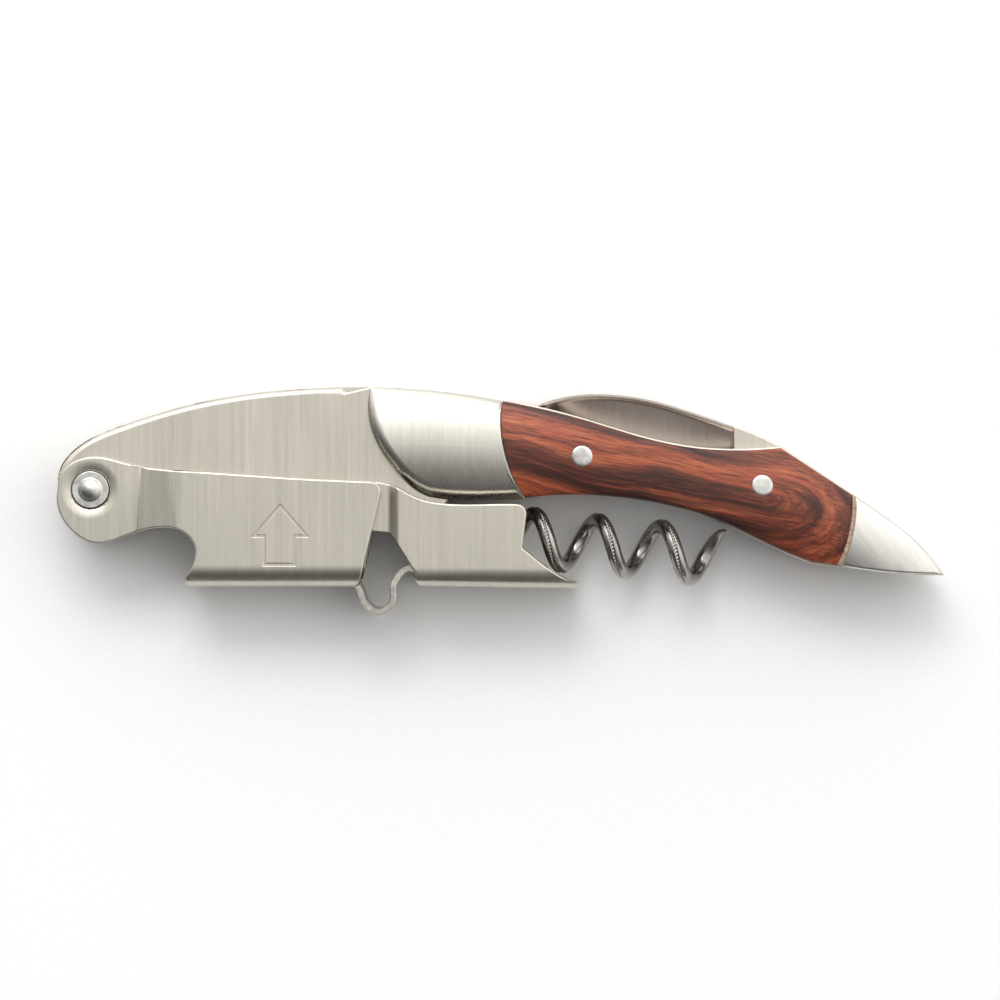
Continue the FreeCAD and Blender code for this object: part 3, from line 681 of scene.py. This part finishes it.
def knife():
    """The foil knife: a flat tang and a short blade that is hollow ground on both sides."""
    mesh = NODES["knife_blade"].data
    solid = BVHTree.FromPolygons([v.co for v in mesh.vertices], [p.vertices for p in mesh.polygons])
    low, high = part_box("knife_blade")
    stations = 120
    start, end = low.x + 0.02 * MM, PLUNGE_X * MM
    bm = bmesh.new()
    rings = []
    for k in range(stations + 1):
        share = k / stations
        x = start + (end - start) * (1 - (1 - share) ** 1.25)
        back = solid.ray_cast(Vector((x, high.y + MM, MIDDLE)), Vector((0, -1, 0)))[0]
        edge = solid.ray_cast(Vector((x, low.y - MM, MIDDLE)), Vector((0, 1, 0)))[0]
        if back is None or edge is None:
            continue
        rings.append(blade_ring(bm, x, back.y, edge.y, (end - x) / MM))
    ring_mesh(bm, rings)
    # The hollow-ground faces take the second material, the darker brown painted reflection; the spine, border and
    # tang keep the plain steel.
    for face in bm.faces:
        centre = face.calc_center_median()
        face.material_index = int(abs(centre.z - MIDDLE) < (BLADE_HALF - 0.01) * MM)
    tang = cad_copy("knife_blade")
    bmesh.ops.bisect_plane(tang, geom=tang.verts[:] + tang.edges[:] + tang.faces[:], dist=1e-7,
                           plane_co=(end - 0.25 * MM, 0, 0), plane_no=(1, 0, 0), clear_inner=True)
    bmesh.ops.holes_fill(tang, edges=[e for e in tang.edges if e.is_boundary])
    bevel(tang, 0.15, 3, sharp)
    shape = bpy.data.meshes.new("tang")
    tang.to_mesh(shape)
    tang.free()
    bm.from_mesh(shape)
    bpy.data.meshes.remove(shape)
    made = piece("knife_ground", bm, MATERIALS["plate_steel"], "knife", ["knife_blade"],
                 weighted=True)
    made.data.materials.append(MATERIALS["blade_steel"])


def blade_ring(bm, x, back, edge, to_plunge):
    """One section of the blade: a rounded spine, a narrow flat border and a hollow down to the edge."""
    depth = (back - edge) / MM
    border = min(0.45, depth * 0.3)
    run_out = min(1.0, max(0.0, to_plunge / 0.9))
    hollow = math.sin(run_out * math.pi / 2)
    profile = [(0.0, 0.30), (0.05, 0.55), (0.14, 0.74), (0.25, BLADE_HALF), (border, BLADE_HALF)]
    for k in range(15):
        share = k / 14
        ground = 0.70 - 0.62 * share - 0.21 * math.sin(share * math.pi)
        reach = BLADE_HALF + (max(ground, 0.06) - BLADE_HALF) * hollow
        profile.append((border + 0.12 * hollow + (depth - border - 0.12 * hollow) * share, reach))
    points = [(x, back - down * MM, MIDDLE + reach * MM) for down, reach in profile]
    points += [(x, back - down * MM, MIDDLE - reach * MM) for down, reach in reversed(profile)]
    return [bm.verts.new(p) for p in points]


# ---------------------------------------------------------------- everything else

def across(edge, low, high):
    """Whether an edge runs straight up a cheek between two places along the lever."""
    a, b = (v.co for v in edge.verts)
    return abs(a.x - b.x) < 0.02 * MM and low * MM < a.x < high * MM and abs(a.z - b.z) < 0.02 * MM


def dimple_rim(edge):
    """Whether an edge is on the outer circle of an ear's countersink."""
    pivot = Vector(JOINT["lever_fold"]["pos_m"]).to_2d()
    return all(abs((v.co.to_2d() - pivot).length - 3.4 * MM) < 0.03 * MM for v in edge.verts)


def neck_rim(edge):
    """Whether an edge is on the outer rim of the bare neck."""
    half = PLATE_FACE - MIDDLE
    outside = all(abs(abs(v.co.z - MIDDLE) - half) < 0.02 * MM for v in edge.verts)
    return outside and sharp(edge) and all(v.co.x < -18.9 * MM and v.co.y > 3.0 * MM for v in edge.verts)


def on_arrow(edge):
    """Whether an edge belongs to the arrow that is pressed into the front cheek."""
    return all(-36 * MM < v.co.x < -26 * MM and -9.5 * MM < v.co.y < -0.2 * MM and v.co.z > 12.0 * MM
               for v in edge.verts)


BEND = 2.9
SHARP_BEND = 0.9
SHEET = 1.0
BEND_CUTS = 12
SPINE_HALF = 0.5


def rolled(node):
    """A change of shape for one lever part: its cheeks roll into its spine on a wide bend."""
    low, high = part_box(node)
    half = (high.z - low.z) / 2 / MM

    def arc(depth, radius):
        return radius - math.sqrt(max(0.0, radius ** 2 - max(0.0, radius - max(depth, 0.0)) ** 2))

    def reshape(bm):
        for step in range(1, BEND_CUTS + 1):
            bmesh.ops.bisect_plane(bm, geom=bm.verts[:] + bm.edges[:] + bm.faces[:], dist=1e-7,
                                   plane_co=(0, low.y + (BEND + 0.6) * MM * step / BEND_CUTS, 0),
                                   plane_no=(0, 1, 0))
        for vert in bm.verts:
            depth = (vert.co.y - low.y) / MM
            out = abs(vert.co.z - MIDDLE) / MM
            if depth > BEND or out < SPINE_HALF:
                continue
            sharp_outer = half - arc(depth, SHARP_BEND)
            outer = half - arc(depth, BEND)
            inner = half - SHEET - arc(depth - SHEET, BEND - SHEET)
            if out > sharp_outer - SHEET / 2 or depth < SHEET / 2:
                target = outer * min(1.0, out / sharp_outer)
            else:
                target = inner * min(1.0, out / (half - SHEET))
            vert.co.z = MIDDLE + math.copysign(target * MM, vert.co.z - MIDDLE)

    return reshape


SMALL_EDGES = {
    "neck_spacer": 0.15, "back_spring": 0.15, "tail_spacer": 0.15, "lever_rivet": 0.12, "worm_pin": 0.15,
    "knife_washers": 0.03, "worm_washers": 0.03, "lever_washers": 0.04,
    "spring_rivets_first": 0.10, "spring_rivets_second": 0.10,
    "tip_spacer_front": 0.05, "tip_spacer_back": 0.05,
}


def pressed_parts():
    joggle = (1.6, 8, lambda e: across(e, -52, -45))
    dish = (0.75, 5, dimple_rim)
    stamp = (0.05, 2, lambda e: on_arrow(e) and sharp(e))
    tongue = (0.3, 4, lambda e: across(e, -16.2, -14.2))
    softened("lever_first", 0.26, segments=3, first=[joggle, dish, stamp], spared=on_arrow,
             reshape=rolled("lever_first"))
    softened("lever_second", 0.26, segments=3, first=[tongue], reshape=rolled("lever_second"))
    plate = rim_loop("side_plate_front")
    for node in ("side_plate_front", "side_plate_back"):
        softened(node, 0.25, segments=3, first=[(0.9, 6, neck_rim)], outline=plate)
    for node, width in SMALL_EDGES.items():
        softened(node, width)


# ---------------------------------------------------------------- stage

def area_light(name, place, size, energy):
    """A rectangular light that faces the origin."""
    data = bpy.data.lights.new(name, "AREA")
    data.shape = "RECTANGLE"
    data.size, data.size_y = size
    data.energy = energy
    lamp = bpy.data.objects.new(name, data)
    lamp.location = place
    lamp.rotation_mode = "QUATERNION"
    lamp.rotation_quaternion = (-Vector(place)).to_track_quat("-Z", "Y")
    bpy.context.scene.collection.objects.link(lamp)


def studio():
    bm = bmesh.new()
    bmesh.ops.create_grid(bm, x_segments=8, y_segments=8, size=1.5)
    mesh = bpy.data.meshes.new("floor")
    bm.to_mesh(mesh)
    bm.free()
    mesh.materials.append(paper_floor("floor_paper"))
    floor = bpy.data.objects.new("floor", mesh)
    floor.location.z = cad_box[0].z
    bpy.context.scene.collection.objects.link(floor)
    bpy.context.scene.world = studio_world()
    area_light("key", (-0.12, 0.50, 0.50), (0.42, 0.24), 1.6)
    bpy.context.scene.view_settings.view_transform = "Standard"


def studio_world():
    """A pale room that is darker to the left and the near side, so that rounded metal gets an edge."""
    world = bpy.data.worlds.new("studio")
    world.use_nodes = True
    nodes, links = world.node_tree.nodes, world.node_tree.links
    coords = nodes.new("ShaderNodeTexCoord")
    lean = nodes.new("ShaderNodeVectorMath")
    lean.operation = "DOT_PRODUCT"
    lean.inputs[1].default_value = (0.42, 0.90, 0.0)
    ramp = nodes.new("ShaderNodeValToRGB")
    shift = nodes.new("ShaderNodeMapRange")
    shift.inputs["From Min"].default_value = -1.0
    links.new(coords.outputs["Generated"], lean.inputs[0])
    links.new(lean.outputs["Value"], shift.inputs["Value"])
    links.new(shift.outputs[0], ramp.inputs["Fac"])
    links.new(ramp.outputs["Color"], nodes["Background"].inputs["Color"])
    stops = [(0.20, 0.06), (0.36, 0.20), (0.44, 0.38), (0.50, 0.54), (0.60, 0.72), (0.72, 1.0)]
    points = ramp.color_ramp.elements
    while len(points) < len(stops):
        points.new(0.5)
    for point, (place, level) in zip(points, stops):
        point.position = place
        point.color = (level, level * 0.995, level * 0.98, 1)
    nodes["Background"].inputs["Strength"].default_value = 1.7
    return world


VIEW_WIDTH = 142.37
OFF_CENTRE = 0.14


def camera():
    """A long lens straight above the tool, as far off as makes the frame VIEW_WIDTH wide."""
    data = bpy.data.cameras.new("camera")
    data.lens = 135.0
    data.sensor_width = 36.0
    view_width = VIEW_WIDTH * MM
    made = bpy.data.objects.new("camera", data)
    middle = (cad_box[0] + cad_box[1]) / 2
    height = view_width * data.lens / data.sensor_width
    made.location = (middle.x - OFF_CENTRE * MM, middle.y + OFF_CENTRE * MM, middle.z + height)
    bpy.context.scene.collection.objects.link(made)
    bpy.context.scene.camera = made


camera()
studio()
covers()
pressed_parts()
knife()
worm()
leaf_spring()
